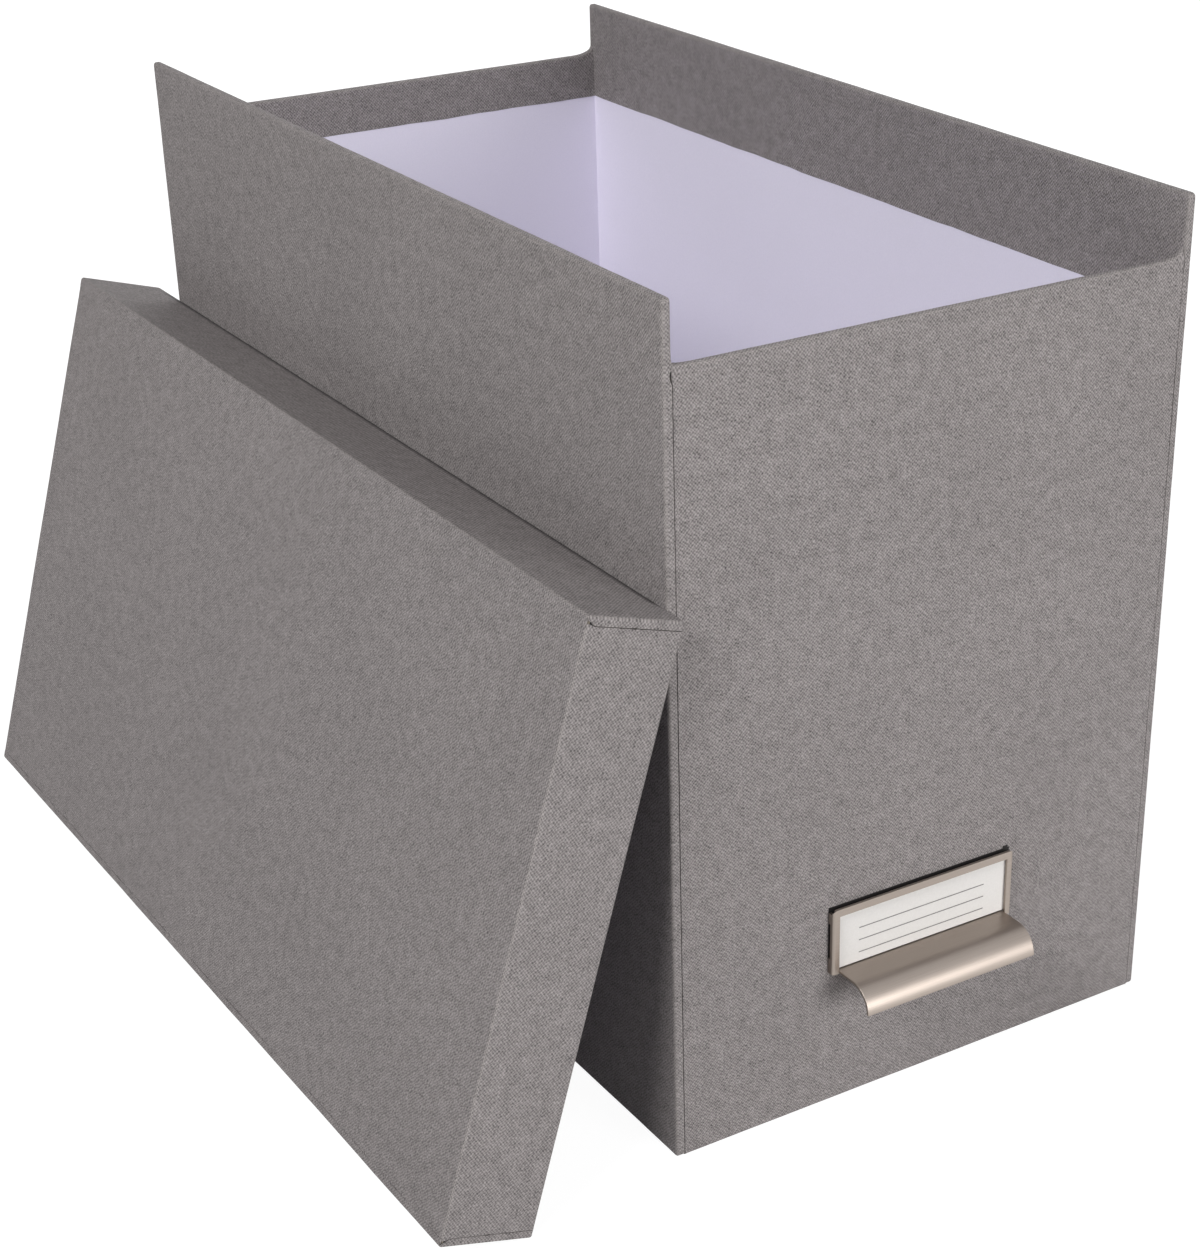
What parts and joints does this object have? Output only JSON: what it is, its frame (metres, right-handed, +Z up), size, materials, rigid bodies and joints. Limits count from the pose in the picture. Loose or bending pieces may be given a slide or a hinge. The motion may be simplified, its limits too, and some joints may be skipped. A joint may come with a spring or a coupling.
{
  "type": "archival box",
  "caption": "Tall cloth-covered board file box with a lift-off lid leaning on its side and a metal label holder with a finger pull.",
  "frame": {"origin": "centre of the tray's underside", "axes": "+X across the tray's short side, away from the leaning lid; +Y along the tray towards its back, with the label holder facing -Y; +Z up"},
  "size_m": [0.2586, 0.3657, 0.26],
  "materials": {
    "greyboard": "matte",
    "cover_paper": "matte, fine linen weave",
    "lining_paper": "matte",
    "stay_tape": "matte",
    "holder_metal": "satin nickel plate",
    "card_stock": "matte"
  },
  "bodies": {
    "tray": {"tray_back_board": "greyboard", "tray_back_cover": "cover_paper", "tray_back_left_stay": "stay_tape", "tray_back_lining": "lining_paper", "tray_back_right_stay": "stay_tape", "tray_base_cover": "cover_paper", "tray_floor_board": "greyboard", "tray_floor_lining": "lining_paper", "tray_front_board": "greyboard", "tray_front_cover": "cover_paper", "tray_front_left_stay": "stay_tape", "tray_front_lining": "lining_paper", "tray_front_right_stay": "stay_tape", "tray_left_board": "greyboard", "tray_left_cover": "cover_paper", "tray_left_lining": "lining_paper", "tray_right_board": "greyboard", "tray_right_cover": "cover_paper", "tray_right_lining": "lining_paper", "label_holder": "holder_metal"},
    "lid": {"lid_back_board": "greyboard", "lid_back_cover": "cover_paper", "lid_back_lining": "lining_paper", "lid_back_lower_stay": "stay_tape", "lid_back_upper_stay": "stay_tape", "lid_front_board": "greyboard", "lid_front_cover": "cover_paper", "lid_front_lining": "lining_paper", "lid_front_lower_stay": "stay_tape", "lid_front_upper_stay": "stay_tape", "lid_lower_board": "greyboard", "lid_lower_cover": "cover_paper", "lid_lower_lining": "lining_paper", "lid_panel_board": "greyboard", "lid_panel_cover": "cover_paper", "lid_panel_lining": "lining_paper", "lid_upper_board": "greyboard", "lid_upper_cover": "cover_paper", "lid_upper_lining": "lining_paper"},
    "card": {"label_card": "card_stock"}
  },
  "joints": [
    {"name": "lid_lift", "type": "slide", "parent": "tray", "child": "lid", "axis": [0, 0, 1], "range_m": [0, 0.27]},
    {"name": "card_slide", "type": "slide", "parent": "tray", "child": "card", "axis": [0, 0, 1], "range_m": [0, 0.024]}
  ]
}
